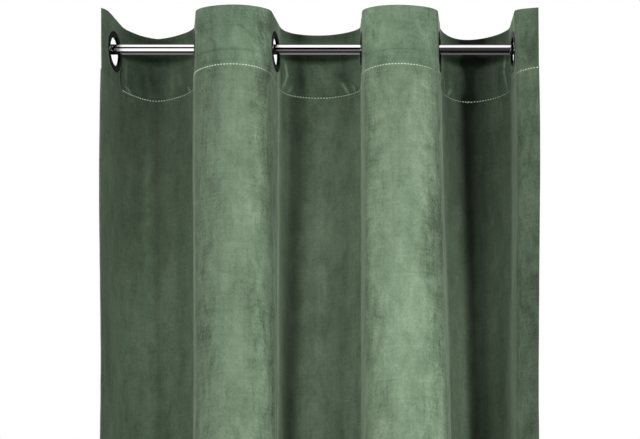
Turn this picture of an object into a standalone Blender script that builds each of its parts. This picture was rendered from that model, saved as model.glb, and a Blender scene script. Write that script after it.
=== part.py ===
"""An eyelet curtain of velvet on a plain rod, hanging in the deep folds that its six eyelets give it.

Metres, +Z up. The origin is the middle of the rod's axis, the rod runs along X, and the curtain's face
looks to -Y. "Depth" below means how far a point stands in front of the rod's axis, so a fold towards the
room has a positive one.
"""

import math

import bmesh
import bpy

# Rod
ROD_RADIUS = 0.0072
ROD_LENGTH = 0.582
ROD_SIDES = 32
ROD_EDGE = 0.0008

# Heights on the curtain, measured from the rod's axis
TOP = 0.0415
SEAM = -0.0500
LOW = -0.6000
DROP = 1.8300
HEM = TOP - DROP

# Cloth
PANEL_THICK = 0.0018
HEADING_THICK = 0.0018
SEAM_GAP = 0.0003

# Eyelets: two halves that clip together through a hole in the heading
GAP = 0.0003
RING_INNER = 0.0202
RING_OUTER = 0.0283
SLEEVE_WALL = 0.0012
FLANGE_RISE = 0.0009
SLEEVE_END = 0.0006
RING_SIDES = 24
CROWN_STEPS = 4
HOLE_RADIUS = RING_INNER + SLEEVE_WALL + GAP
SEAT = HEADING_THICK / 2 + GAP
# The rod bears on the upper back of each ring's hole, this many degrees above level.
BEARING = math.radians(36.0)
BEARING_STEPS = 120
SEATING_TRIES = 30

# The cloth is flat where an eyelet grips it, this far to either side of the ring's middle, and less below.
FLAT_HALF = 0.0286
FLAT_HALF_LOW = 0.0229
# How far a side margin keeps the flat's direction, as a share of its depth
MARGIN_REACH = 0.6
# The height of a flange's rims, as a share of its rise
RIM_SHARE = 0.35
CUTTER_DEPTH = 6 * HEADING_THICK
SHARP = math.radians(50)
ROD_EDGE_ANGLE = math.radians(60)

# Steps along the folds, for each flat, each quarter of a fold and each side margin
FLAT_STEPS = 2
QUARTER_STEPS = 5
MARGIN_STEPS = 3
HEADING_ROWS = 3
# Heights of the panel's rows, as shares of the way from the seam to the hem
PANEL_ROWS = (0.0, 0.01, 0.03, 0.06, 0.1, 0.15, 0.21, 0.28, 0.36, 0.44, 0.53, 0.62, 0.71, 0.8, 0.9, 1.0)

# One row for each eyelet, left to right. "turn" is how many degrees the cloth runs to the right as it goes
# back. The three x columns and the two turns are at the heading, at LOW and, for x, at the hem.
EYELETS = (
    # x, turn, x_low, turn_low, x_hem
    (-0.2747, 14.0, -0.2620, 14.0, -0.2600),
    (-0.1636, -4.2, -0.1548, -3.0, -0.1600),
    (-0.0534, 10.8, -0.0490, 4.0, -0.0450),
    (0.0660, -1.5, 0.0655, -4.0, 0.0620),
    (0.1718, 6.0, 0.1770, 5.0, 0.1790),
    (0.2743, -2.0, 0.2615, -4.0, 0.2600),
)

# One row for each fold between two eyelets, left to right: where its crest is and how deep, at the top edge,
# the seam, LOW and the hem, and how full its two quarters are, from 0 for a straight slope to 1 for a corner.
FOLDS = (
    # x, x_low, x_hem, depth_top, depth_seam, depth_low, depth_hem, full_left, full_right
    (-0.2205, -0.2120, -0.2060, -0.0653, -0.0690, -0.0640, -0.0600, 0.36, 0.34),
    (-0.1100, -0.1080, -0.1010, 0.0618, 0.0790, 0.0820, 0.0770, 0.50, 0.50),
    (0.0080, -0.0180, -0.0080, -0.0526, -0.0560, -0.0700, -0.0700, 0.62, 0.46),
    (0.1150, 0.1180, 0.1200, 0.0612, 0.0800, 0.0830, 0.0790, 0.53, 0.50),
    (0.2160, 0.2200, 0.2220, -0.0695, -0.0720, -0.0830, -0.0740, 0.50, 0.46),
)

# The two side margins, which run forward from the outer eyelets to the panel's side edges.
MARGINS = (
    # x, x_seam, x_low, x_hem, depth_top, depth_seam, depth_low, depth_hem
    (-0.2905, -0.2862, -0.2730, -0.2790, 0.0500, 0.0600, 0.0620, 0.0640),
    (0.3064, 0.3030, 0.2885, 0.2930, 0.0510, 0.0670, 0.0680, 0.0640),
)

VELVET_GREEN = (0.125, 0.195, 0.120, 1.0)
HEADING_GREEN = (0.150, 0.225, 0.145, 1.0)
DARK_CHROME = (0.09, 0.09, 0.095, 1.0)
CHROME = (0.62, 0.60, 0.61, 1.0)


def clear_scene():
    for obj in list(bpy.data.objects):
        bpy.data.objects.remove(obj, do_unlink=True)


def principled(name, colour, roughness, metallic):
    material = bpy.data.materials.new(name)
    material.use_nodes = True
    shader = material.node_tree.nodes["Principled BSDF"]
    shader.inputs["Base Color"].default_value = colour
    shader.inputs["Roughness"].default_value = roughness
    shader.inputs["Metallic"].default_value = metallic
    return material


def velvet():
    return principled("velvet", VELVET_GREEN, 0.85, 0.0)


def heading_cloth():
    return principled("heading_cloth", HEADING_GREEN, 0.85, 0.0)


def dark_chrome():
    return principled("dark_chrome", DARK_CHROME, 0.18, 1.0)


def chrome():
    return principled("chrome", CHROME, 0.12, 1.0)


def eased(start, end, share):
    """A value on its way from start to end, leaving the one and reaching the other with no corner."""
    share = min(max(share, 0.0), 1.0)
    return start + (end - start) * share * share * (3 - 2 * share)


def at_height(z, top, seam, low, hem):
    """A size of the folds at the height z, from its values at the top edge, the seam, LOW and the hem."""
    if z >= SEAM:
        return seam + (top - seam) * (z - SEAM) / (TOP - SEAM)
    if z >= LOW:
        return eased(seam, low, (SEAM - z) / (SEAM - LOW))
    return eased(low, hem, (LOW - z) / (LOW - HEM))


def clearance(offset, turn):
    """The room between the rod and the hole of a turned ring, its middle this far from the rod's axis."""
    bore = RING_INNER * math.cos(math.pi / RING_SIDES)
    least = bore
    for end in (-SEAT - FLANGE_RISE, SEAT + FLANGE_RISE):
        for step in range(BEARING_STEPS):
            angle = 2 * math.pi * step / BEARING_STEPS
            depth = bore * math.cos(angle) * math.cos(turn) + end * math.sin(turn)
            apart = (depth - offset * math.cos(BEARING), bore * math.sin(angle) - offset * math.sin(BEARING))
            least = min(least, math.hypot(*apart) - ROD_RADIUS)
    return least


def ring_offset(turn_deg):
    """How far a ring's middle lies from the rod's axis where the rod bears on its hole, found by halving."""
    turn = abs(math.radians(turn_deg))
    near, far = 0.0, RING_INNER
    for _ in range(SEATING_TRIES):
        offset = (near + far) / 2
        if clearance(offset, turn) > GAP:
            near = offset
        else:
            far = offset
    return near


def ring_middle(row):
    """The depth and the height of an eyelet's middle."""
    offset = ring_offset(row[1])
    return offset * math.cos(BEARING), -offset * math.sin(BEARING)


def flat_ends(row, z):
    """The front and back ends in plan of the flat that an eyelet grips, which goes on down the panel."""
    x, turn, x_low, turn_low, x_hem = row
    middle = at_height(z, x, x, x_low, x_hem)
    slope = math.radians(at_height(z, turn, turn, turn_low, turn_low))
    half = at_height(z, FLAT_HALF, FLAT_HALF, FLAT_HALF_LOW, FLAT_HALF_LOW)
    depth, _ = ring_middle(row)
    run = (half * math.sin(slope), half * math.cos(slope))
    front = (middle - run[0], depth + run[1])
    back = (middle + run[0], depth - run[1])
    return front, back


def quarter(end, way, crest, full):
    """Points of a quarter fold in plan, from the flat's end, in line with the flat, to the level crest."""
    reach = abs(crest[1] - end[1]) * full
    a = (end[0] + way[0] * reach, end[1] + way[1] * reach)
    b = (crest[0] + (end[0] - crest[0]) * full, crest[1])
    points = []
    for step in range(1, QUARTER_STEPS + 1):
        t = step / QUARTER_STEPS
        weights = ((1 - t) ** 3, 3 * t * (1 - t) ** 2, 3 * t * t * (1 - t), t**3)
        corners = (end, a, b, crest)
        points.append(tuple(sum(w * c[axis] for w, c in zip(weights, corners)) for axis in (0, 1)))
    return points


def margin(end, way, edge):
    """Points of a side margin in plan, from the flat's front end to the panel's side edge."""
    reach = MARGIN_REACH * (edge[1] - end[1])
    bend = (end[0] + way[0] * reach, end[1] + way[1] * reach)
    points = []
    for step in range(1, MARGIN_STEPS + 1):
        t = step / MARGIN_STEPS
        weights = ((1 - t) ** 2, 2 * t * (1 - t), t * t)
        corners = (end, bend, edge)
        points.append(tuple(sum(w * c[axis] for w, c in zip(weights, corners)) for axis in (0, 1)))
    return points


def direction(start, end):
    length = math.dist(start, end)
    return ((end[0] - start[0]) / length, (end[1] - start[1]) / length)


def flat(start, end):
    """Points along a flat, without its first one."""
    points = []
    for step in range(1, FLAT_STEPS + 1):
        t = step / FLAT_STEPS
        points.append((start[0] + (end[0] - start[0]) * t, start[1] + (end[1] - start[1]) * t))
    return points


def fold_line(z):
    """The curtain's line in plan at the height z: (x, depth) points from the left edge to the right edge."""
    ends = [flat_ends(row, z) for row in EYELETS]
    edges = []
    for x, x_seam, x_low, x_hem, *depths in MARGINS:
        edges.append((at_height(z, x, x_seam, x_low, x_hem), at_height(z, *depths)))
    front, back = ends[0]
    line = margin(front, direction(back, front), edges[0])[::-1] + [front]
    for index, (x, x_low, x_hem, *depths, full_left, full_right) in enumerate(FOLDS):
        crest = (at_height(z, x, x, x_low, x_hem), at_height(z, *depths))
        towards_back = crest[1] < 0
        start, leave = ends[index] if towards_back else ends[index][::-1]
        arrive, end = ends[index + 1][::-1] if towards_back else ends[index + 1]
        line += flat(start, leave)
        line += quarter(leave, direction(start, leave), crest, full_left)
        line += quarter(arrive, direction(end, arrive), crest, full_right)[-2::-1] + [arrive]
    back, front = ends[-1][::-1]
    line += flat(back, front)
    line += margin(front, direction(back, front), edges[1])
    return line


def offset_line(line, distance):
    """The line moved sideways by the distance, square to its own run."""
    moved = []
    for index, point in enumerate(line):
        before = line[max(index - 1, 0)]
        after = line[min(index + 1, len(line) - 1)]
        way = direction(before, after)
        moved.append((point[0] + way[1] * distance, point[1] - way[0] * distance))
    return moved


def add_object(name, mesh, material):
    obj = bpy.data.objects.new(name, mesh)
    bpy.context.scene.collection.objects.link(obj)
    mesh.materials.append(material)
    return obj


def folded_sheet(name, heights, thickness, material):
    """A closed sheet on the curtain's folds, with a row of points on its face and its back at each height."""
    bm = bmesh.new()
    sides = []
    for distance in (-thickness / 2, thickness / 2):
        rows = []
        for z in heights:
            line = offset_line(fold_line(z), distance)
            rows.append([bm.verts.new((x, -depth, z)) for x, depth in line])
        sides.append(rows)
    face, back = sides
    for i in range(len(heights) - 1):
        for j in range(len(face[0]) - 1):
            bm.faces.new((face[i][j], face[i + 1][j], face[i + 1][j + 1], face[i][j + 1]))
            bm.faces.new((back[i][j], back[i][j + 1], back[i + 1][j + 1], back[i + 1][j]))
        bm.faces.new((face[i][0], back[i][0], back[i + 1][0], face[i + 1][0]))
        bm.faces.new((face[i][-1], face[i + 1][-1], back[i + 1][-1], back[i][-1]))
    for j in range(len(face[0]) - 1):
        bm.faces.new((face[0][j], face[0][j + 1], back[0][j + 1], back[0][j]))
        bm.faces.new((face[-1][j], back[-1][j], back[-1][j + 1], face[-1][j + 1]))
    bmesh.ops.recalc_face_normals(bm, faces=bm.faces)
    mesh = bpy.data.meshes.new(name)
    bm.to_mesh(mesh)
    bm.free()
    obj = add_object(name, mesh, material)
    mesh.shade_smooth()
    mesh.set_sharp_from_angle(angle=SHARP)
    return obj


def turned(name, profile, sides, material):
    """A closed ring turned about its own Z from a closed profile of (radius, height) points."""
    bm = bmesh.new()
    rings = []
    for index in range(sides):
        angle = 2 * math.pi * index / sides
        rings.append([bm.verts.new((r * math.cos(angle), r * math.sin(angle), h)) for r, h in profile])
    for index in range(sides):
        here = rings[index]
        there = rings[(index + 1) % sides]
        for i in range(len(profile)):
            j = (i + 1) % len(profile)
            bm.faces.new((here[i], here[j], there[j], there[i]))
    bmesh.ops.recalc_face_normals(bm, faces=bm.faces)
    mesh = bpy.data.meshes.new(name)
    bm.to_mesh(mesh)
    bm.free()
    obj = add_object(name, mesh, material)
    mesh.shade_smooth()
    mesh.set_sharp_from_angle(angle=SHARP)
    return obj


def crown(inner, outer, base, rise):
    """The domed outside of a flange, as (radius, height) points from its outer rim to its inner one."""
    middle = (inner + outer) / 2
    half = (outer - inner) / 2
    points = []
    for step in range(CROWN_STEPS + 1):
        angle = math.pi * step / CROWN_STEPS
        share = RIM_SHARE + (1 - RIM_SHARE) * math.sin(angle)
        points.append((middle + half * math.cos(angle), base + rise * share))
    return points


def front_profile():
    """The front half of an eyelet: a domed flange, with the sleeve that passes through the cloth."""
    sleeve = RING_INNER + SLEEVE_WALL
    profile = crown(RING_INNER, RING_OUTER, SEAT, FLANGE_RISE)
    profile += [(RING_INNER, -SEAT - SLEEVE_END), (sleeve, -SEAT - SLEEVE_END)]
    profile += [(sleeve, SEAT), (RING_OUTER, SEAT)]
    return profile


def back_profile():
    """The back half of an eyelet: a flange round the end of the front half's sleeve."""
    profile = [(r, -h) for r, h in crown(HOLE_RADIUS, RING_OUTER, SEAT, FLANGE_RISE)]
    profile += [(HOLE_RADIUS, -SEAT), (RING_OUTER, -SEAT)]
    return profile


def place_on_heading(obj, row, face):
    """Puts a turned piece round an eyelet's middle, square to the cloth, with +Z on the cloth's face."""
    depth, height = ring_middle(row)
    obj.location = (row[0], -depth, height)
    obj.rotation_euler = (0.0, face * math.pi / 2, -math.radians(row[1]))


def faces_right(index):
    """Which way the cloth's face looks at an eyelet: 1 to the right, as right of a front fold, or -1."""
    return 1 if index % 2 == 0 else -1


def make_eyelets():
    metal = dark_chrome()
    for index, row in enumerate(EYELETS):
        number = index + 1
        face = faces_right(index)
        place_on_heading(turned(f"eyelet_front_{number}", front_profile(), RING_SIDES, metal), row, face)
        place_on_heading(turned(f"eyelet_back_{number}", back_profile(), RING_SIDES, metal), row, face)


def hole_cutter(index, row):
    """A drum through the heading, where an eyelet's sleeve goes through the cloth."""
    bm = bmesh.new()
    bmesh.ops.create_cone(
        bm, cap_ends=True, segments=RING_SIDES, radius1=HOLE_RADIUS, radius2=HOLE_RADIUS, depth=CUTTER_DEPTH
    )
    mesh = bpy.data.meshes.new(f"hole_{index + 1}")
    bm.to_mesh(mesh)
    bm.free()
    cutter = bpy.data.objects.new(mesh.name, mesh)
    bpy.context.scene.collection.objects.link(cutter)
    place_on_heading(cutter, row, faces_right(index))
    cutter.hide_render = True
    cutter.display_type = "WIRE"
    return cutter


def make_heading():
    """The stiffened strip along the top, with a hole for each eyelet."""
    bottom = SEAM + SEAM_GAP / 2
    heights = [TOP + (bottom - TOP) * row / HEADING_ROWS for row in range(HEADING_ROWS + 1)]
    heading = folded_sheet("heading", heights, HEADING_THICK, heading_cloth())
    for index, row in enumerate(EYELETS):
        hole = heading.modifiers.new(f"hole_{index + 1}", "BOOLEAN")
        hole.object = hole_cutter(index, row)
        hole.operation = "DIFFERENCE"
        hole.solver = "EXACT"


def make_panel():
    """The curtain below the heading's seam, down to its hem, with the folds that the eyelets set."""
    top = SEAM - SEAM_GAP / 2
    heights = [top + (HEM - top) * share for share in PANEL_ROWS]
    folded_sheet("panel", heights, PANEL_THICK, velvet())


def make_rod():
    """The plain round rod, with its end edges broken."""
    bm = bmesh.new()
    bmesh.ops.create_cone(
        bm, cap_ends=True, segments=ROD_SIDES, radius1=ROD_RADIUS, radius2=ROD_RADIUS, depth=ROD_LENGTH
    )
    mesh = bpy.data.meshes.new("rod")
    bm.to_mesh(mesh)
    bm.free()
    rod = add_object("rod", mesh, chrome())
    rod.rotation_euler = (0.0, math.pi / 2, 0.0)
    edge = rod.modifiers.new("edge", "BEVEL")
    edge.width = ROD_EDGE
    edge.segments = 1
    edge.limit_method = "ANGLE"
    edge.angle_limit = ROD_EDGE_ANGLE
    mesh.shade_smooth()
    mesh.set_sharp_from_angle(angle=SHARP)


def build():
    clear_scene()
    make_rod()
    make_heading()
    make_panel()
    make_eyelets()


build()
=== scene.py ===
"""The look of an eyelet curtain: crushed green velvet in deep folds, dark chrome eyelets and a bright rod.

Metres, +Z up, in the frame of the solids: the origin is the middle of the rod's axis, the rod runs along X
and the curtain's face looks to -Y. "Depth" means how far a point stands in front of the rod's axis. A
"station" says where a point is along the cloth: 1 to 6 at the eyelets, the halves between them at the
crests of the folds, and 0.5 and 6.5 at the side edges.
"""

import math

import bmesh
import bpy
import numpy as np
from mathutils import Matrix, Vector, kdtree, noise


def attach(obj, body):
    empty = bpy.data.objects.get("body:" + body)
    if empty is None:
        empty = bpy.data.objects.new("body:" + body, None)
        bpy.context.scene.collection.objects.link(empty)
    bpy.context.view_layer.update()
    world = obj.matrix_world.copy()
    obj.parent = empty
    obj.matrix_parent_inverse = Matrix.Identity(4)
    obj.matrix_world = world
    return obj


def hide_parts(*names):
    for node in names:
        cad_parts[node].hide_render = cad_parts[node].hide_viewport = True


# Rod
ROD_RADIUS = 0.0072
ROD_LENGTH = 0.582
ROD_EDGE = 0.0008
ROD_SIDES = 96

# Heights on the curtain, measured from the rod's axis
TOP = 0.0415
SEAM = -0.0500
LOW = -0.6000
DROP = 1.8300
HEM = TOP - DROP
HEM_STITCHES = HEM + 0.0800
SIDE_HEM = 0.0250

# Cloth
PANEL_THICK = 0.0018
HEADING_THICK = 0.0018
TURNED_THICK = 0.0011
SEAM_GAP = 0.0003

# Eyelets
GAP = 0.0003
RING_INNER = 0.0202
RING_OUTER = 0.0283
SLEEVE_WALL = 0.0012
FLANGE_RISE = 0.0009
SLEEVE_END = 0.0006
RING_SIDES = 96
CROWN_STEPS = 14
RIM_SHARE = 0.35
HOLE_RADIUS = RING_INNER + SLEEVE_WALL + GAP
SEAT = HEADING_THICK / 2 + GAP
# How deep the drums are that cut the heading's holes
DRUM_DEPTH = 0.012
# Where the rod bears on a ring's hole, above level at the back
BEARING = math.radians(36.0)
BEARING_STEPS = 120
SEATING_TRIES = 30
# The facets of the solid ring's bore, which the rod bears on
BORE_SIDES = 24

FLAT_HALF = 0.0286
FLAT_HALF_LOW = 0.0229
MARGIN_REACH = 0.6
# How far outside a flange the cloth is still flat, and where it moves freely
STILL_REACH = 0.0003
FREE_REACH = 0.0060
# The share of the way to the next crest that an eyelet's flat takes, as a station
FLAT_SHARE = 0.3

# One row for each eyelet, left to right. "turn" is how many degrees the cloth runs to the right as it goes
# back. The three x columns and the two turns are at the heading, at LOW and, for x, at the hem.
EYELETS = (
    # x, turn, x_low, turn_low, x_hem
    (-0.2747, 14.0, -0.2620, 14.0, -0.2600),
    (-0.1636, -4.2, -0.1548, -3.0, -0.1600),
    (-0.0534, 10.8, -0.0490, 4.0, -0.0450),
    (0.0660, -1.5, 0.0655, -4.0, 0.0620),
    (0.1718, 6.0, 0.1770, 5.0, 0.1790),
    (0.2743, -2.0, 0.2615, -4.0, 0.2600),
)

# One row for each fold between two eyelets, left to right: where its crest is and how deep, at the top
# edge, the seam, LOW and the hem, and how full its quarters are, from 0, a straight slope, to 1, a corner.
FOLDS = (
    # x, x_low, x_hem, depth_top, depth_seam, depth_low, depth_hem, full_left, full_right
    (-0.2205, -0.2120, -0.2060, -0.0653, -0.0690, -0.0640, -0.0600, 0.36, 0.34),
    (-0.1100, -0.1080, -0.1010, 0.0618, 0.0790, 0.0820, 0.0770, 0.50, 0.50),
    (0.0080, -0.0180, -0.0080, -0.0526, -0.0560, -0.0700, -0.0700, 0.62, 0.46),
    (0.1150, 0.1180, 0.1200, 0.0612, 0.0800, 0.0830, 0.0790, 0.53, 0.50),
    (0.2160, 0.2200, 0.2220, -0.0695, -0.0720, -0.0830, -0.0740, 0.50, 0.46),
)

# The two side margins, which run forward from the outer eyelets to the panel's side edges.
MARGINS = (
    # x, x_seam, x_low, x_hem, depth_top, depth_seam, depth_low, depth_hem
    (-0.2905, -0.2862, -0.2730, -0.2790, 0.0500, 0.0600, 0.0620, 0.0640),
    (0.3064, 0.3030, 0.2885, 0.2930, 0.0510, 0.0670, 0.0680, 0.0640),
)

# How many steps a flat, a quarter of a fold and a side margin take
HEADING_STEPS = (32, 46, 30)
PANEL_STEPS = (11, 15, 10)
STITCH_STEPS = (40, 60, 40)
# The heights of each sheet's rows
HEADING_STRETCHES = (
    # from, to, step
    (TOP, SEAM + SEAM_GAP / 2, 0.0015),
)
PANEL_STRETCHES = (
    # from, to, step
    (SEAM - SEAM_GAP / 2, -0.11, 0.0030),
    (-0.11, -0.62, 0.0070),
    (-0.62, HEM_STITCHES + 0.006, 0.0125),
    (HEM_STITCHES + 0.006, HEM_STITCHES - 0.006, 0.0015),
    (HEM_STITCHES - 0.006, HEM + 0.004, 0.0100),
    (HEM + 0.004, HEM, 0.0020),
)
# How thick a sheet still is at its side edges, as a share
SIDE_SHARE = 0.4

# The soft unevenness of hanging velvet, as noise: its scales, its height at the seam, how much is added
# further down, and where in the noise it lies
SWELLS = (
    # along, down, height, added, layer
    (16, 2.4, 0.0006, 0.0014, 3.1),
    (42, 7.0, 0.0004, 0.0005, 8.7),
    (90, 40.0, 0.00025, 0.0, 5.3),
)
# How far below the seam the swells are full, and the share of them that the stiffened heading has
SWELLS_FULL = 0.5
HEADING_SWELLS = 0.8

# Creases placed on the cloth's face. Each runs from one station and height to another, "wide" to either
# side, and stands "rise" proud of the cloth, or sinks into it where that is negative.
CREASES = (
    # station, z, station_end, z_end, wide, rise
    (1.335, -0.004, 1.345, -0.044, 0.0022, 0.0012),
    (1.300, -0.020, 1.310, -0.046, 0.0040, -0.0018),
    (1.345, -0.044, 1.400, -0.050, 0.0022, 0.0010),
    (1.690, -0.036, 1.720, -0.049, 0.0025, 0.0010),
    (1.460, -0.012, 1.450, -0.046, 0.0080, -0.0012),
    (2.515, 0.0140, 2.620, -0.0160, 0.0026, -0.0007),
    (2.590, -0.0020, 2.625, -0.0140, 0.0020, -0.0006),
    (3.330, -0.010, 3.340, -0.034, 0.0022, 0.0012),
    (3.350, -0.034, 3.420, -0.048, 0.0030, 0.0010),
    (3.420, -0.026, 3.430, -0.046, 0.0060, -0.0014),
    (3.600, -0.026, 3.680, -0.047, 0.0026, 0.0014),
    (3.570, -0.022, 3.600, -0.046, 0.0050, -0.0014),
    (3.720, -0.020, 3.730, -0.046, 0.0040, -0.0012),
    (5.320, -0.026, 5.360, -0.048, 0.0026, 0.0014),
    (5.290, -0.024, 5.310, -0.046, 0.0040, -0.0014),
    (5.690, 0.0000, 5.668, -0.018, 0.0020, 0.0013),
    (5.668, -0.018, 5.690, -0.047, 0.0020, 0.0013),
    (5.720, -0.010, 5.710, -0.044, 0.0030, -0.0012),
    (2.330, -0.0285, 2.640, -0.0275, 0.0018, -0.0006),
    (4.350, -0.0285, 4.660, -0.0275, 0.0018, -0.0005),
    (5.505, -0.060, 5.505, -1.700, 0.0100, -0.0080),
    (1.500, 0.0415, 1.500, -1.700, 0.0040, -0.0016),
)

# Painted shade and highlight in the velvet's colour: a row for each crest, each shoulder and each eyelet's
# flat
# It is darker in the back folds and valleys where shade falls, and lighter on the crests and rims where
# light and sheen fall, as a share of the lightest
PAINTED_SHADE_AND_HIGHLIGHT = (
    # station, heading, below, low
    (0.5, 0.5, 0.6, 0.5),
    (1.0, 0.6, 0.6, 0.7),
    (1.3, 0.4, 0.5, 0.8),
    (1.5, 0.3, 0.3, 0.5),
    (1.6, 0.5, 0.6, 0.7),
    (1.7, 0.7, 0.9, 1.2),
    (2.3, 1.0, 1.0, 1.1),
    (2.4, 0.8, 0.8, 1.0),
    (2.5, 1.0, 1.0, 1.1),
    (2.6, 1.1, 1.1, 1.2),
    (2.7, 0.9, 0.8, 0.8),
    (3.3, 0.8, 1.0, 1.0),
    (3.4, 0.5, 0.4, 0.4),
    (3.5, 0.5, 0.6, 0.6),
    (3.6, 0.5, 0.6, 0.6),
    (3.7, 1.1, 1.3, 1.3),
    (4.3, 1.2, 1.2, 1.1),
    (4.5, 1.0, 1.1, 1.3),
    (4.6, 1.1, 1.3, 1.5),
    (4.7, 1.1, 1.1, 1.2),
    (5.3, 1.1, 1.2, 1.5),
    (5.4, 0.6, 0.6, 1.2),
    (5.5, 0.2, 0.2, 0.4),
    (5.55, 0.2, 0.2, 0.3),
    (5.6, 0.4, 0.4, 0.5),
    (5.7, 0.8, 0.8, 0.8),
    (6.3, 0.8, 0.8, 0.8),
    (6.5, 0.5, 0.6, 0.5),
)
# The heights between which one column of PAINTED_SHADE_AND_HIGHLIGHT gives way to the next
PAINTED_SHADE_STRETCHES = ((SEAM + 0.001, SEAM - 0.001), (-0.1000, -0.4500))

# How crushed the pile is: its mottling is strongest on the shoulders of the front folds
CRUSH = (
    # station, crush
    (0.5, 1.0),
    (2.3, 1.0),
    (2.4, 1.4),
    (2.45, 0.9),
    (2.55, 0.9),
    (2.6, 1.6),
    (2.7, 1.9),
    (3.3, 1.0),
    (4.3, 1.1),
    (4.4, 1.5),
    (4.45, 1.0),
    (4.55, 1.0),
    (4.6, 1.6),
    (4.7, 1.9),
    (5.3, 1.0),
    (6.3, 1.0),
    (6.4, 1.5),
    (6.5, 1.1),
)

# The least and the most that the painted shade and highlight tone can be
TONE_RANGE = (0.05, 1.7)
# The even tone, with no painted shade, and the crush on the back of the heading, where the velvet is turned
# over
BACK_TONE = 0.7
BACK_CRUSH = 0.6

# Marks in the velvet's colour, from one station and height to another, "wide" to either side, lighter by
# "change" or, where that is negative, darker
# Most are painted light: the rod's painted shadow on the back folds, painted shade in the valleys and
# creases, and painted highlights along creases and fold rims. A few are nap pressed another way
NAP_MARKS_AND_PAINTED_LIGHT = (
    # station, z, station_end, z_end, wide, change
    (1.470, 0.0000, 1.480, -0.0400, 0.0050, -0.10),
    (1.560, -0.0060, 1.570, -0.0400, 0.0045, 0.12),
    (3.360, 0.0040, 3.640, 0.0040, 0.0100, -0.18),
    (1.350, 0.0340, 1.640, 0.0340, 0.0080, -0.14),
    (3.360, 0.0360, 3.640, 0.0360, 0.0080, -0.24),
    (5.360, 0.0360, 5.640, 0.0360, 0.0090, -0.18),
    (2.340, -0.0505, 2.620, -0.0505, 0.0014, 0.22),
    (4.340, -0.0505, 4.640, -0.0505, 0.0014, 0.22),
    (6.340, -0.0505, 6.500, -0.0505, 0.0014, 0.16),
    (5.360, 0.0060, 5.640, 0.0060, 0.0080, -0.18),
    (1.300, -0.0220, 1.305, -0.0460, 0.0035, -0.34),
    (1.345, -0.0060, 1.345, -0.0460, 0.0019, 0.40),
    (1.345, -0.0440, 1.375, -0.0490, 0.0022, 0.55),
    (1.420, -0.0100, 1.440, -0.0420, 0.0070, -0.12),
    (1.590, -0.0120, 1.610, -0.0400, 0.0060, 0.16),
    (1.640, -0.0420, 1.655, -0.0490, 0.0022, 0.60),
    (1.506, -0.0520, 1.510, -0.5400, 0.0014, -0.16),
    (1.450, -0.0700, 1.460, -0.3000, 0.0060, 0.08),
    (3.318, -0.0120, 3.322, -0.0400, 0.0030, -0.36),
    (3.360, -0.0080, 3.372, -0.0240, 0.0021, 0.95),
    (3.372, -0.0240, 3.335, -0.0480, 0.0021, 0.95),
    (3.400, -0.0380, 3.380, -0.0480, 0.0021, 0.40),
    (3.440, -0.0140, 3.450, -0.0420, 0.0070, -0.16),
    (3.500, -0.0100, 3.520, -0.0400, 0.0080, 0.10),
    (3.560, -0.0180, 3.590, -0.0260, 0.0070, -0.20),
    (3.580, -0.0330, 3.606, -0.0490, 0.0021, 0.80),
    (3.625, -0.0380, 3.640, -0.0490, 0.0021, 0.50),
    (5.360, -0.0240, 5.350, -0.0480, 0.0026, 0.36),
    (5.385, -0.0490, 5.410, -0.0380, 0.0022, 0.80),
    (5.400, -0.0290, 5.420, -0.0240, 0.0060, 0.16),
    (5.430, -0.0200, 5.440, -0.0440, 0.0050, -0.12),
    (5.648, 0.0080, 5.640, -0.0180, 0.0019, 0.80),
    (5.640, -0.0180, 5.660, -0.0470, 0.0019, 0.80),
    (5.620, -0.0100, 5.618, -0.0400, 0.0050, -0.16),
    (2.515, 0.0140, 2.620, -0.0160, 0.0020, -0.18),
    (2.590, -0.0020, 2.625, -0.0140, 0.0015, -0.26),
    (2.575, -0.0040, 2.612, -0.0170, 0.0016, 0.16),
    (2.632, -0.0240, 2.640, -0.0440, 0.0045, -0.24),
    (2.360, 0.0260, 2.375, -0.0040, 0.0060, -0.14),
    (4.470, 0.0200, 4.530, 0.0060, 0.0070, -0.14),
    (4.360, 0.0240, 4.400, 0.0060, 0.0040, 0.14),
    (4.575, 0.0060, 4.605, -0.0040, 0.0014, 0.16),
    (2.330, -0.0285, 2.640, -0.0275, 0.0016, -0.24),
    (4.350, -0.0285, 4.660, -0.0275, 0.0016, -0.20),
    (2.360, -0.0450, 2.600, -0.0450, 0.0030, -0.08),
    (4.440, -0.0440, 4.600, -0.0440, 0.0030, -0.08),
    (2.380, -0.0570, 2.640, -0.0570, 0.0018, -0.16),
    (4.360, -0.0570, 4.640, -0.0570, 0.0018, -0.16),
    (2.320, 0.3000, 2.320, -2.0000, 0.0040, 0.40),
    (4.320, 0.3000, 4.320, -2.0000, 0.0040, 0.40),
    (3.200, 0.3000, 3.200, -2.0000, 0.0060, 0.80),
    (5.200, 0.3000, 5.200, -2.0000, 0.0060, 0.60),
    (3.415, 0.3000, 3.500, -2.0000, 0.0130, -0.26),
    (1.560, 0.1000, 1.580, -0.5500, 0.0090, 0.08),
    (1.460, -0.1000, 1.500, -1.5000, 0.0080, 0.08),
    (5.500, 0.1000, 5.505, -0.0500, 0.0125, -0.22),
    (5.490, -0.0500, 5.490, -2.0000, 0.0110, -0.35),
)

# How many times its width a stroke is worked out to, and how strong it still is near its ends
STROKE_REACH = 3
STROKE_END = 0.35

# The crushed pile's fine wrinkles: how close together, how wide as a share of the noise, how much lighter
WRINKLE_SCALE = 26.0
WRINKLE_WIDTH = 0.018
WRINKLE_TONE = 0.16

# Stitches, of thread that lies on the cloth
STITCH_PITCH = 0.0042
STITCH_LENGTH = 0.0028
THREAD_RADIUS = 0.00080
THREAD_SIDES = 6
# How far a stitch wanders up or down, and how much it tilts
STITCH_WANDER = 0.00025
STITCH_TILT = 0.12
# The cloth is drawn in along a row of stitches, this deep and this far to either side.
DRAWN_DEPTH = 0.0004
DRAWN_WIDTH = 0.0030
SEAM_STITCHES = SEAM - 0.0014
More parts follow.
